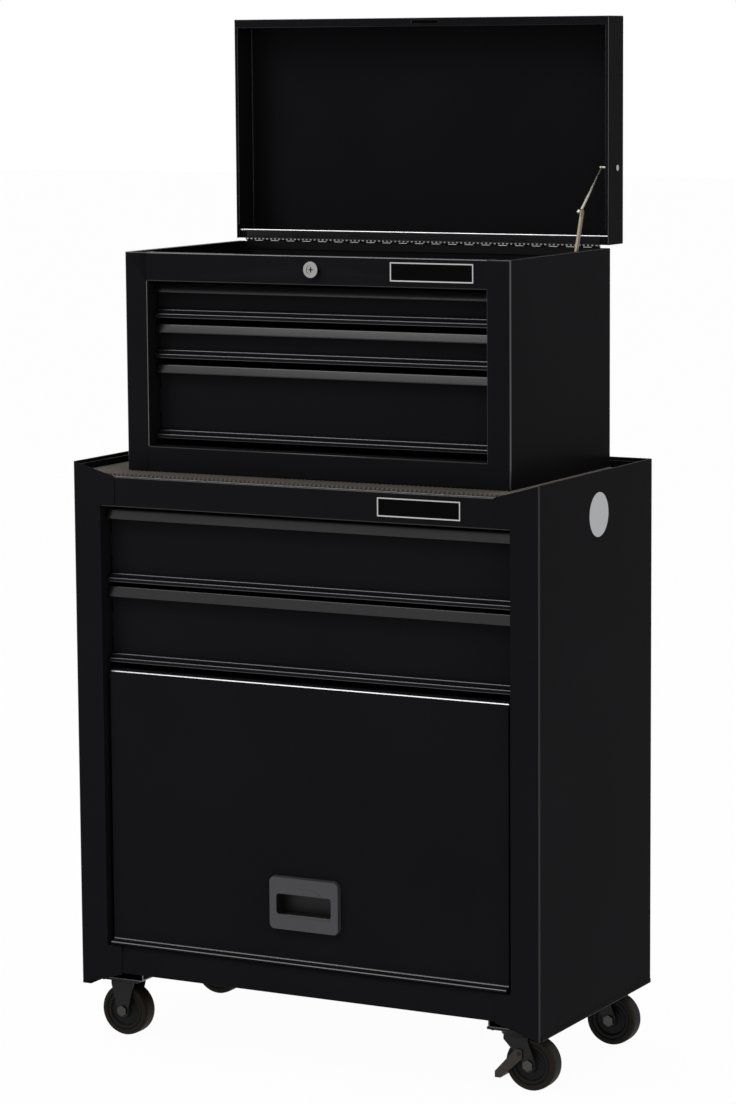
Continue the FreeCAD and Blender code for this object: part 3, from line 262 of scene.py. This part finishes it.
def eased(node, material, width=0.0004, segments=2, fold=None, rolled=(), seam=None, cuts=(),
          other=None, where=None):
    """A copy of a CAD piece with its edges eased: narrow at a cut edge, wider along a fold.

    A welded seam, which the paint covers, stays flush. The faces are cut at places along an
    axis, and those whose middle `where` picks have the other finish."""
    fold = fold or width
    source = frame["nodes"][node]
    mesh = source.data.copy()
    shape = bmesh.new()
    shape.from_mesh(mesh)
    bmesh.ops.remove_doubles(shape, verts=shape.verts, dist=0.00001)
    bmesh.ops.dissolve_limit(shape, angle_limit=0.01, verts=shape.verts, edges=shape.edges)
    for axis, place in cuts:
        bmesh.ops.bisect_plane(shape, geom=shape.verts[:] + shape.edges[:] + shape.faces[:],
                               plane_co=Vector(axis) * place, plane_no=axis)
    weight = shape.edges.layers.float.new("bevel_weight_edge")
    for edge in shape.edges:
        middle = (edge.verts[0].co + edge.verts[1].co) / 2
        if seam and seam(middle):
            continue
        if len(edge.link_faces) == 2 and edge.calc_face_angle(0.0) > math.radians(38):
            room = min(room_across(face, edge) for face in edge.link_faces)
            edge[weight] = min(fold if edge.is_convex else width, 0.42 * room) / fold
    for face in shape.faces:
        face.smooth = True
        face.material_index = 0
    if rolled:
        mark_rolls(shape)
    if other:
        for face in shape.faces:
            if where(face.calc_center_median()):
                face.material_index = 1 + len(rolled)
    mesh.materials.clear()
    for layer in (material, *rolled, *([other] if other else [])):
        mesh.materials.append(layer)
    shape.to_mesh(mesh)
    shape.free()
    copy = bpy.data.objects.new(node + "_eased", mesh)
    bpy.context.scene.collection.objects.link(copy)
    rounding = copy.modifiers.new("rounding", "BEVEL")
    rounding.width = fold
    rounding.segments = segments
    rounding.limit_method = "WEIGHT"
    if rolled:
        # The bevel faces take the third finish, the painted fold highlight.
        rounding.material = 2
    smooth = copy.modifiers.new("smooth", "WEIGHTED_NORMAL")
    smooth.keep_sharp = True
    return put(copy, source["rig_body"], node)


folds = (rolled_enamel, painted_fold_highlight)
for node in ("cabinet_left_side", "cabinet_right_side", "cabinet_back", "cabinet_top_rail",
             "cabinet_floor_pan", "caster_channels", "cabinet_top_tray",
             "chest_back", "chest_till_floor", "lid_shell"):
    eased(node, black_enamel, 0.0004, 3, 0.0011, folds)


# Thin strips along the door's top roll, the foot of its face and its lip get a grey metal colour: painted
# highlights.
door_roll, door_face_foot, door_lip = (0.4972, 0.4984), (0.1393, 0.1405), (0.1358, 0.1369)


def door_highlight_strips(centre):
    """Where the door's top and foot folds get their painted highlight: between two heights, in front of a
    depth.
    """
    strips = ((*door_roll, -0.1530), (*door_face_foot, -0.1530), (*door_lip, -0.1690))
    return any(foot < centre.z < top and centre.y < depth for foot, top, depth in strips)


up = (0, 0, 1)
# Grey metal colour of those strips: a painted highlight.
painted_door_highlight = finish("painted_door_highlight", (0.22, 0.22, 0.225), 0.28, metallic=1.0, grain=0.05, grain_scale=330.0,
                   shade=0.1)
door_cuts = (*door_roll, *door_face_foot, *door_lip)
eased("door_panel", black_enamel, 0.0004, 3, 0.0011, cuts=[(up, place) for place in door_cuts],
      other=painted_door_highlight, where=door_highlight_strips)
eased("cabinet_bottom_rail", black_enamel, 0.0004, 3, 0.0011)

chest_rail_top, chest_header_foot, chest_rim_foot = 0.7933, 1.0075, 1.0437
chest_half_opening, chest_corner, chest_front_depth = 0.2455, 0.2767, -0.1270


def chest_weld(middle):
    """The butt joints of the chest's two front rails with its stiles."""
    beside_rail = middle.z > chest_header_foot or middle.z < chest_rail_top
    at_joint = abs(abs(middle.x) - chest_half_opening) < 0.0003
    return at_joint and beside_rail and middle.y < chest_front_depth


def chest_rim(centre):
    """The folds along the chest's upper front edge and down its two front corners, which get a painted
    highlight.
    """
    return centre.y < chest_front_depth and (centre.z > chest_rim_foot or abs(centre.x) > chest_corner)


for node in ("chest_left_side", "chest_right_side", "chest_front_rail"):
    cuts = [(up, place) for place in (chest_rail_top, chest_header_foot, chest_rim_foot)]
    eased(node, black_enamel, 0.0004, 3, 0.0011, folds, chest_weld, cuts, painted_rim_highlight, chest_rim)
eased("chest_base_pan", black_enamel, 0.0004, 3, 0.0011, folds, chest_weld)


def softened(made, width, segments=2):
    """Eases the sharp edges of a finished piece."""
    rounding = made.modifiers.new("rounding", "BEVEL")
    rounding.width = width
    rounding.segments = segments
    rounding.angle_limit = math.radians(45)
    smooth = made.modifiers.new("smooth", "WEIGHTED_NORMAL")
    smooth.keep_sharp = True
    return made


# Rolled bead along the top of the lid's lower lip, folded from the lid's own sheet.
# It takes the sharp edge away from the hands; its pale metal colour is a painted highlight, one bright line.
low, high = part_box("lid_shell")
bead_radius, bead_centre, bead_end = 0.0013, (0, 0.1665, 1.0600), 0.0011
shape = bmesh.new()
bmesh.ops.create_cone(shape, cap_ends=True, segments=20, radius1=bead_radius, radius2=bead_radius,
                      depth=high.x - low.x - 2 * bead_end,
                      matrix=Matrix.Translation(bead_centre) @ Matrix.Rotation(math.pi / 2, 4, "Y"))
bead = made_of("lid_lip_bead", shape, painted_bead_highlight, smooth=True)
put(softened(bead, 0.0002), "lid")


# Drawers: a folded front whose top edge is rolled over into a full-width finger pull, and whose
# foot has two small ledges; behind it a plain sheet tray. Both have the black enamel.
drawers = ("cabinet_drawer_one", "cabinet_drawer_two",
           "chest_drawer_one", "chest_drawer_two", "chest_drawer_three")


# Grey metal colour on the facets at the drawer's foot ledges: a painted highlight.
painted_ledge_highlight = finish("painted_ledge_highlight", (0.085, 0.085, 0.09), 0.30, metallic=1.0, grain=0.05, grain_scale=330.0,
                    shade=0.15)


def rounded(corners, steps=5):
    """The corners of a bent sheet's path in millimetres, each turned to its radius."""
    path = [Vector(corners[0][:2])]
    for before, corner, after in zip(corners, corners[1:], corners[2:]):
        at, radius = Vector(corner[:2]), corner[2]
        back, ahead = (Vector(before[:2]) - at).normalized(), (Vector(after[:2]) - at).normalized()
        half = back.angle(ahead) / 2
        reach, out = radius / math.tan(half), radius / math.sin(half)
        centre = at + (back + ahead).normalized() * out
        start, end = at + back * reach - centre, at + ahead * reach - centre
        sweep = start.angle_signed(end)
        path += [centre + Matrix.Rotation(-sweep * i / steps, 2) @ start for i in range(steps + 1)]
    return path + [Vector(corners[-1][:2])]


def drawer_front(drawer, drop):
    """The folded front: a leaning pull band, the face, and two ledges at its foot."""
    low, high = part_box(drawer + "_front")
    lip, top, foot = low.y * 1000, high.z * 1000, low.z * 1000
    face = lip + 12
    ledges = ((face - 5.5, foot + 10.4), (lip + 0.5, foot + 5.2), (lip + 0.5, foot + 0.5))
    path = rounded([
        (lip + 4, top - drop + 0.5), (lip + 0.5, top - drop + 0.5, 0.9), (lip + 4.9, top - 1.3, 2.2),
        (face + 0.5, top - 0.5, 1.0), (face + 0.5, foot + 10.4, 1.0), (*ledges[0], 0.6),
        (face - 5.5, foot + 5.2, 0.6), (*ledges[1], 0.6), (*ledges[2], 0.6), (face + 4.5, foot + 0.5)])
    ways = [(path[min(i + 1, len(path) - 1)] - path[max(i - 1, 0)]).normalized() for i in range(len(path))]
    near = [point + Vector((-way.y, way.x)) * 0.5 for point, way in zip(path, ways)]
    far = [point - Vector((-way.y, way.x)) * 0.5 for point, way in zip(path, ways)]
    shape = bmesh.new()
    section = shape.faces.new([shape.verts.new((low.x, point.x / 1000, point.y / 1000))
                               for point in near + far[::-1]])
    ahead = bmesh.ops.extrude_face_region(shape, geom=[section])
    bmesh.ops.translate(shape, vec=(high.x - low.x, 0, 0),
                        verts=[vert for vert in ahead["geom"] if isinstance(vert, bmesh.types.BMVert)])
    bmesh.ops.recalc_face_normals(shape, faces=shape.faces)
    for side in shape.faces:
        centre = side.calc_center_median()
        beside = min((Vector((centre.y, centre.z)) * 1000 - Vector(fold)).length for fold in ledges)
        side.smooth = True
        # Facets beside the ledge folds take the painted ledge highlight.
        side.material_index = 2 if beside < 1.1 and abs(side.normal.x) < 0.5 else 0
        if centre.z > high.z - 0.0165 and centre.y < low.y + 0.0112:
            side.material_index = 1
    made = made_of(drawer + "_bent_front", shape, black_enamel, rolled_enamel, painted_ledge_highlight)
    return put(softened(made, 0.0003), drawer, drawer + "_front")


for drawer in drawers:
    drawer_front(drawer, 15 if drawer.startswith("cabinet") else 12.5)
    eased(drawer + "_tray", black_enamel, 0.0004, 2, 0.0008)


# Drawer slides: bare zinc plated steel, dull grey, drawn lengthwise.
# The fixed rails sit on the cabinet walls and the members on the drawer's tray.
slide_zinc = finish("slide_zinc", (0.022, 0.022, 0.024), 0.42, metallic=1.0, grain=0.15, grain_scale=900.0,
                    shade=0.1)
for node in ("cabinet_slide_rails", "chest_slide_rails", *[drawer + "_slides" for drawer in drawers]):
    eased(node, slide_zinc, 0.0003, 1)


# Mat in the cabinet's top tray: a brownish black rubber sheet, ribbed from front to back.
# It keeps tools and the chest from sliding; its cut front edge shows the ribs as small teeth.
mat_rubber = finish("mat_rubber", (0.15, 0.13, 0.112), 0.85, specular=0.3, grain=0.6, grain_scale=520.0,
                    depth=0.0006, shade=0.3)


def step(kind, first, second=0.0):
    """One arithmetic step of the pattern in hand; each input is a number or a socket."""
    made = nodes.new("ShaderNodeMath")
    made.operation = kind
    for socket, given in zip(made.inputs, (first, second)):
        if isinstance(given, (int, float)):
            socket.default_value = given
        else:
            links.new(given, socket)
    return made.outputs[0]


def place_on(material):
    """The part's own coordinates, in metres, for a pattern on this material."""
    nodes, links = material.node_tree.nodes, material.node_tree.links
    place = nodes.new("ShaderNodeSeparateXYZ")
    links.new(next(node for node in nodes if node.type == "TEX_COORD").outputs["Object"], place.inputs[0])
    return nodes, links, place, nodes["Principled BSDF"]


low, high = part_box("tray_mat")
rib_pitch, rib_depth = 0.0065, 0.0021
ribs = round((high.x - low.x) / rib_pitch)
nodes, links, place, rubber = place_on(mat_rubber)
# The rubber's colour is multiplied by a wave along the ribs: full at the crests, a quarter at the bottoms of
# the grooves.
phase = step("MULTIPLY", step("SUBTRACT", place.outputs["X"], low.x), 2 * math.pi / rib_pitch)
crest = step("ADD", step("MULTIPLY", step("COSINE", phase), 0.38), 0.62)
darker_in_grooves = nodes.new("ShaderNodeMix")
darker_in_grooves.data_type = "RGBA"
darker_in_grooves.blend_type = "MULTIPLY"
darker_in_grooves.inputs["Factor"].default_value = 1.0
links.new(rubber.inputs["Base Color"].links[0].from_socket, darker_in_grooves.inputs["A"])
links.new(crest, darker_in_grooves.inputs["B"])
links.new(darker_in_grooves.outputs["Result"], rubber.inputs["Base Color"])
shape = bmesh.new()
bmesh.ops.create_grid(shape, x_segments=ribs * 6, y_segments=1, size=0.5)
bmesh.ops.scale(shape, vec=(high.x - low.x, high.y - low.y, 1), verts=shape.verts)
bmesh.ops.translate(shape, vec=((low.x + high.x) / 2, (low.y + high.y) / 2, high.z), verts=shape.verts)
for vert in shape.verts:
    vert.co.z -= rib_depth * (0.5 - 0.5 * math.cos(2 * math.pi * (vert.co.x - low.x) / rib_pitch))
under = bmesh.ops.extrude_face_region(shape, geom=shape.faces[:])
for vert in under["geom"]:
    if isinstance(vert, bmesh.types.BMVert):
        vert.co.z = low.z
bmesh.ops.recalc_face_normals(shape, faces=shape.faces)
put(made_of("ribbed_mat", shape, mat_rubber), "carcass", "tray_mat")


# Piano hinge behind the chest: two enamelled leaves rolled round one long zinc pin.
# Pale metal dashes are painted twice on each knuckle's barrel, painted highlights, so the hinge reads as a
# row of pale dashes.
bright_zinc = finish("bright_zinc", (0.62, 0.62, 0.60), 0.30, metallic=1.0, grain=0.08, grain_scale=1200.0,
                     shade=0.06)
hinge_enamel = finish("hinge_enamel", (0.0042, 0.0042, 0.0047), 0.30, specular=0.2, grain=0.1,
                      grain_scale=330.0, shade=0.15)
nodes, links, place, paint = place_on(hinge_enamel)
pin_low, pin_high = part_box("hinge_pin")
pin_z = (pin_low.z + pin_high.z) / 2
# Where this pattern makes the barrel pale metal: painted highlight dashes.
along = step("FRACT", step("DIVIDE", step("SUBTRACT", place.outputs["X"], pin_low.x), 0.00615))
in_dash = step("LESS_THAN", step("ABSOLUTE", step("SUBTRACT", along, 0.5)), 0.22)
on_barrel = step("LESS_THAN", step("ABSOLUTE", step("SUBTRACT", place.outputs["Z"], pin_z - 0.0004)), 0.0012)
painted_glint = step("MULTIPLY", in_dash, on_barrel)
links.new(painted_glint, paint.inputs["Metallic"])
glint_mix = nodes.new("ShaderNodeMix")
glint_mix.data_type = "RGBA"
links.new(painted_glint, glint_mix.inputs["Factor"])
links.new(paint.inputs["Base Color"].links[0].from_socket, glint_mix.inputs["A"])
glint_mix.inputs["B"].default_value = (0.60, 0.60, 0.58, 1)
links.new(glint_mix.outputs["Result"], paint.inputs["Base Color"])
for node in ("hinge_leaf_chest", "hinge_leaf_lid"):
    eased(node, hinge_enamel, 0.0003, 2)
eased("hinge_pin", bright_zinc, 0.0002, 2)


# Lid stay on the right: a bent zinc wire hooked into the lid, and a flat bar of yellow zinc on
# the chest wall. They meet at a riveted knee that folds forward as the lid comes down.
yellow_zinc = finish("yellow_zinc", (0.17, 0.14, 0.10), 0.36, metallic=1.0, grain=0.2, grain_scale=500.0,
                     shade=0.25)
pale_zinc = finish("pale_zinc", (0.34, 0.32, 0.28), 0.34, metallic=1.0, grain=0.1, grain_scale=900.0,
                   shade=0.1)
eased("stay_rod", pale_zinc, 0.0003, 2)
eased("stay_bar", yellow_zinc, 0.0003, 2)


# Lock in the chest's header: a domed, chromed housing and a plug with its keyhole.
# The plug turns a cam behind the header.
chrome = finish("chrome", (0.33, 0.33, 0.32), 0.24, metallic=1.0, grain=0.12, grain_scale=260.0, shade=0.1)
painted_keyhole_shade = finish("painted_keyhole_shade", (0.004, 0.004, 0.004), 0.6, specular=0.1, shade=0.1)
eased("lock_housing", chrome, 0.0004, 5, 0.0019)
eased("lock_plug", chrome, 0.0003, 3, 0.0005)


def block(name, low, high, material, bevel=0.0, segments=2):
    """A box between two corners, in metres, with eased edges."""
    shape = bmesh.new()
    bmesh.ops.create_cube(shape, size=1.0)
    bmesh.ops.scale(shape, vec=Vector(high) - Vector(low), verts=shape.verts)
    bmesh.ops.translate(shape, vec=(Vector(high) + Vector(low)) / 2, verts=shape.verts)
    if bevel:
        bmesh.ops.bevel(shape, geom=shape.edges[:], offset=bevel, segments=segments, profile=0.5,
                        affect="EDGES", material=-1)
    made = made_of(name, shape, material, smooth=bool(bevel))
    if bevel:
        smooth = made.modifiers.new("smooth", "WEIGHTED_NORMAL")
        smooth.keep_sharp = True
    return made


# The keyhole is a thin black block on the plug's face, not a cut slot: painted shade.
low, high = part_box("lock_plug")
keyhole = block("keyhole", (-0.0030, low.y - 0.00012, 1.0269), (0.0030, low.y + 0.0004, 1.0285),
                painted_keyhole_shade, 0.0001)
put(keyhole, "lock_core")


# Name plates on the chest's and the cabinet's headers, left blank: thin black plates, each with
# a white printed frame, glued on. A blank pale paper disc sits on the cabinet's right side.
plate_black = finish("plate_black", (0.003, 0.003, 0.003), 0.3, specular=0.01, shade=0.1)
plate_white = finish("plate_white", (0.62, 0.62, 0.61), 0.35, specular=0.4, shade=0.03)
paper = finish("paper", (0.58, 0.60, 0.61), 0.6, specular=0.2, grain=0.1, grain_scale=900.0, shade=0.05)
for owner, left, low_z, face in (("chest", 0.1105, 1.0150, -0.1285), ("cabinet", 0.1115, 0.7240, -0.1690)):
    shape = bmesh.new()
    bmesh.ops.create_cube(shape, size=1.0)
    bmesh.ops.scale(shape, vec=(0.117, 0.0007, 0.0247), verts=shape.verts)
    bmesh.ops.translate(shape, vec=(left + 0.0585, face - 0.00035, low_z + 0.01235), verts=shape.verts)
    front = min(shape.faces, key=lambda side: side.calc_center_median().y)
    bmesh.ops.inset_region(shape, faces=[front], thickness=0.0005)
    ring = bmesh.ops.inset_region(shape, faces=[front], thickness=0.0022)["faces"]
    for face_of_ring in ring:
        face_of_ring.material_index = 1
    bmesh.ops.translate(shape, vec=(0, 0.0002, 0), verts=front.verts)
    put(made_of(owner + "_blank_plate", shape, plate_black, plate_white), "carcass")

shape = bmesh.new()
bmesh.ops.create_cone(shape, cap_ends=True, segments=96, radius1=0.0285, radius2=0.0282, depth=0.0003,
                      matrix=Matrix.Translation((0.33668, 0.005, 0.7185))
                      @ Matrix.Rotation(math.pi / 2, 4, "Y"))
put(made_of("blank_disc", shape, paper), "carcass")


# Door handle: one black plastic moulding, a tapered frame round a deep finger cup.
# A shallow arch is raised above the cup and a smooth lip runs along its foot.
grained_plastic = finish("grained_plastic", (0.044, 0.043, 0.051), 0.42, specular=0.45, grain=0.35,
                         grain_scale=1500.0, shade=0.1)
smooth_plastic = finish("smooth_plastic", (0.030, 0.030, 0.028), 0.30, specular=0.5, grain=0.1,
                        grain_scale=900.0, shade=0.1)
painted_cup_shade = finish("painted_cup_shade", (0.012, 0.012, 0.012), 0.40, specular=0.2, grain=0.3, grain_scale=1500.0,
                     shade=0.1)
low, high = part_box("door_handle")
face, cup_foot, cup_top = low.y, 0.2000, 0.2270
# Faces more than 4 mm deep in the cup take a darker copy of the plastic: painted shade.
eased("door_handle", grained_plastic, 0.0008, 4, 0.0014, other=painted_cup_shade,
      where=lambda centre: centre.y > face + 0.004)
shape = bmesh.new()
bmesh.ops.create_circle(shape, cap_ends=True, segments=64, radius=1.0,
                        matrix=Matrix.Translation((-0.002, face - 0.0005, cup_top + 0.0004))
                        @ Matrix.Diagonal((0.027, 1, 0.0085, 1)) @ Matrix.Rotation(math.pi / 2, 4, "X"))
bmesh.ops.bisect_plane(shape, geom=shape.verts[:] + shape.edges[:] + shape.faces[:],
                       plane_co=(0, 0, cup_top + 0.0004), plane_no=(0, 0, -1), clear_outer=True)
raised = bmesh.ops.extrude_face_region(shape, geom=shape.faces[:])
bmesh.ops.translate(shape, vec=(0, 0.0006, 0),
                    verts=[vert for vert in raised["geom"] if isinstance(vert, bmesh.types.BMVert)])
bmesh.ops.recalc_face_normals(shape, faces=shape.faces)
put(softened(made_of("handle_arch", shape, grained_plastic), 0.0004, 3), "door")
lip = block("handle_lip", (-0.024, face - 0.0007, cup_foot - 0.0022),
            (0.038, face + 0.002, cup_foot + 0.0006), smooth_plastic, 0.0006, 3)
put(lip, "door")


# Screws and rivets: domed heads that hold the door's stop at the rail, zinc plated.
# The caster plates have four hexagon heads each, under the cabinet's channels.
def dome(name, centre, radius, height, away, material, sides=24):
    """A flat-domed head that stands out along one axis."""
    turn = Vector(away).to_track_quat("Z", "Y").to_matrix().to_4x4()
    shape = bmesh.new()
    bmesh.ops.create_cone(shape, cap_ends=True, segments=sides, radius1=radius, radius2=radius * 0.62,
                          depth=height, matrix=Matrix.Translation(Vector(centre)) @ turn
                          @ Matrix.Translation((0, 0, height / 2)))
    return softened(made_of(name, shape, material, smooth=True), height * 0.3)


for side, x in (("left", -0.2910), ("right", 0.2890)):
    put(dome(f"rail_rivet_{side}", (x, -0.1660, 0.1265), 0.0032, 0.0014, (0, -1, 0), bright_zinc), "carcass")
black_bolt = finish("black_bolt", (0.020, 0.020, 0.021), 0.36, metallic=0.7, grain=0.1, grain_scale=900.0,
                    shade=0.1)
for caster, x, y in (("rigid_front", -0.2945, -0.122), ("rigid_rear", -0.2945, 0.122),
                     ("swivel_front", 0.2835, -0.122), ("swivel_rear", 0.2835, 0.122)):
    corners = [(dx, dy) for dx in (-0.0255, 0.0255) for dy in (-0.0205, 0.0205)]
    for index, (dx, dy) in enumerate(corners):
        bolt = dome(f"{caster}_bolt_{index}", (x + dx, y + dy, 0.0780), 0.0042, 0.0024, (0, 0, -1),
                    black_bolt, 6)
        put(bolt, "carcass")


# Casters: pressed steel forks and plates with a dark plated finish, and zinc axle heads.
# Each swivel fork turns on a kingpin under its plate; the front one has a brake pedal.
dark_plate = finish("dark_plate", (0.012, 0.012, 0.013), 0.34, specular=0.16, grain=0.12,
                    grain_scale=700.0, shade=0.15)
axle_zinc = finish("axle_zinc", (0.060, 0.057, 0.052), 0.36, metallic=1.0, grain=0.12, grain_scale=900.0,
                   shade=0.15)
for node in ("rigid_caster_forks", "swivel_caster_plates", "swivel_front_fork", "swivel_rear_fork"):
    eased(node, dark_plate, 0.0004, 3, 0.0009)
for node in ("rigid_caster_axles", "swivel_front_axle", "swivel_rear_axle", "door_pivot_pins"):
    eased(node, axle_zinc, 0.0004, 3, 0.0009)
pedal_zinc = finish("pedal_zinc", (0.030, 0.026, 0.022), 0.42, metallic=0.7, grain=0.25, grain_scale=500.0,
                    shade=0.3)
eased("brake_pedal", pedal_zinc, 0.0004, 3, 0.0009)


# Wheels: a moulded dark grey hub with a stepped face, and a brownish rubber tyre with soft shoulders.
# Each is turned about its axle.
def turned(name, outline, centre, material, steps=96):
    """A closed outline of (radius, offset along the axle), in millimetres, spun about the axle."""
    shape = bmesh.new()
    corners = [shape.verts.new((centre.x + radius / 1000, centre.y + offset / 1000, centre.z))
               for radius, offset in outline]
    edges = [shape.edges.new((corners[i - 1], corners[i])) for i in range(len(corners))]
    bmesh.ops.spin(shape, geom=corners + edges, cent=centre, axis=(0, 1, 0), angle=2 * math.pi,
                   steps=steps, use_merge=True)
    bmesh.ops.remove_doubles(shape, verts=shape.verts, dist=0.000001)
    bmesh.ops.recalc_face_normals(shape, faces=shape.faces)
    return made_of(name, shape, material, smooth=True)


hub_plastic = finish("hub_plastic", (0.010, 0.009, 0.009), 0.42, specular=0.09, grain=0.15, grain_scale=900.0,
                     shade=0.15)
tyre_rubber = finish("tyre_rubber", (0.017, 0.014, 0.011), 0.62, specular=0.09, grain=0.35, grain_scale=600.0,
                     depth=0.0004, shade=0.35)
half_hub = [(26.4, 10.6), (25.4, 11.3), (22.0, 11.1), (21.2, 10.4), (20.4, 8.7), (19.2, 8.0), (11.4, 8.2),
            (10.2, 9.4), (9.8, 12.6), (9.1, 13.4), (4.1, 13.4)]
half_tyre = [(34.49, 6.0), (34.2, 9.2), (33.1, 11.5), (31.2, 12.5), (27.6, 12.2), (26.45, 11.2)]
for wheel in ("rigid_front_wheel", "rigid_rear_wheel", "swivel_front_wheel", "swivel_rear_wheel"):
    low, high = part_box(wheel + "_tyre")
    middle = (low + high) / 2
    for part, half, material in (("_hub", half_hub, hub_plastic), ("_tyre", half_tyre, tyre_rubber)):
        outline = half + [(radius, -offset) for radius, offset in reversed(half)]
        made = turned(wheel + part + "_turned", outline, middle, material)
        edge = made.modifiers.new("steps", "WEIGHTED_NORMAL")
        edge.keep_sharp = True
        put(made, wheel, wheel + part)
